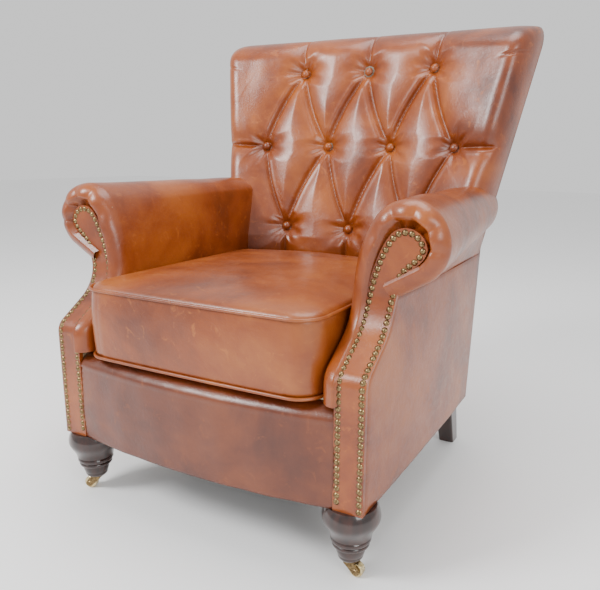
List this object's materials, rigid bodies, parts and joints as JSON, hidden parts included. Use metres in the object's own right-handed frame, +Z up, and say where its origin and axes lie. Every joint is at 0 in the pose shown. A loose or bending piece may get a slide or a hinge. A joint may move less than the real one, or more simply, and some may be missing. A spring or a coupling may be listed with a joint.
{
  "type": "upholstered armchair",
  "caption": "Low roll-arm club armchair in tan leather: button-tufted raked back, loose piped seat cushion, nail-trimmed arm fronts, turned front legs on brass casters.",
  "frame": {"origin": "on the floor, at the middle of the chair's width and depth", "axes": "+Z up, -Y out of the front of the chair, +X to the right as seen from the front"},
  "size_m": [0.8398, 0.8198, 0.984],
  "materials": {
    "leather": "glossy waxed tan leather, rubbed lighter on edges",
    "padding": "upholstery foam and wadding",
    "dark_wood": "dark mahogany stain, gloss lacquer",
    "frame_wood": "raw hardwood",
    "antique_brass": "antiqued brass, semi gloss",
    "bright_brass": "worn bright brass",
    "steel": "plain steel",
    "webbing": "elastic webbing",
    "dust_cloth": "black bottoming cloth",
    "zip": "brown zip tape"
  },
  "bodies": {
    "chair_frame": {"apron_cover": "leather", "apron_pad": "padding", "arm_cover_left": "leather", "arm_cover_right": "leather", "arm_facing_left": "leather", "arm_facing_right": "leather", "arm_outside_panel_left": "leather", "arm_outside_panel_right": "leather", "arm_pad_left": "padding", "arm_pad_right": "padding", "arm_post_left": "frame_wood", "arm_post_right": "frame_wood", "arm_tack_rail_left": "frame_wood", "arm_tack_rail_right": "frame_wood", "arm_top_rail_left": "frame_wood", "arm_top_rail_right": "frame_wood", "back_buttons": "leather", "back_inside_cover": "leather", "back_outside_panel": "leather", "back_pad": "padding", "back_post_left": "frame_wood", "back_post_right": "frame_wood", "back_tack_rail": "frame_wood", "back_top_rail": "frame_wood", "back_webbing": "webbing", "caster_socket_left": "antique_brass", "caster_socket_right": "antique_brass", "corner_blocks": "frame_wood", "dust_cover": "dust_cloth", "facing_nails_left": "antique_brass", "facing_nails_right": "antique_brass", "frame_screws": "steel", "front_leg_left": "dark_wood", "front_leg_right": "dark_wood", "front_rail": "frame_wood", "leg_studs": "steel", "rear_leg_left": "dark_wood", "rear_leg_right": "dark_wood", "rear_rail": "frame_wood", "seat_deck_pad": "padding", "seat_springs": "steel", "side_rail_left": "frame_wood", "side_rail_right": "frame_wood", "spring_clips": "steel"},
    "seat_cushion": {"seat_cushion_foam": "padding", "seat_cushion_cover": "leather", "cushion_piping_top": "leather", "cushion_piping_bottom": "leather", "cushion_zip": "zip"},
    "caster_left": {"caster_horn_left": "antique_brass", "caster_axle_left": "antique_brass"},
    "caster_right": {"caster_horn_right": "antique_brass", "caster_axle_right": "antique_brass"},
    "wheel_left": {"caster_wheel_left": "bright_brass"},
    "wheel_right": {"caster_wheel_right": "bright_brass"}
  },
  "joints": [
    {"name": "cushion_lift", "type": "slide", "parent": "chair_frame", "child": "seat_cushion", "axis": [0, 0, 1], "range_m": [0, 0.35]},
    {"name": "caster_left_swivel", "type": "hinge", "parent": "chair_frame", "child": "caster_left", "pos_m": [-0.297, -0.349, 0.03], "axis": [0, 0, 1], "continuous": true},
    {"name": "caster_right_swivel", "type": "hinge", "parent": "chair_frame", "child": "caster_right", "pos_m": [0.297, -0.349, 0.03], "axis": [0, 0, 1], "continuous": true},
    {"name": "caster_left_roll", "type": "hinge", "parent": "caster_left", "child": "wheel_left", "pos_m": [-0.30922, -0.35345, 0.0125], "axis": [0.342, -0.9397, 0], "continuous": true},
    {"name": "caster_right_roll", "type": "hinge", "parent": "caster_right", "child": "wheel_right", "pos_m": [0.31, -0.349, 0.0125], "axis": [0, 1, 0], "continuous": true}
  ]
}
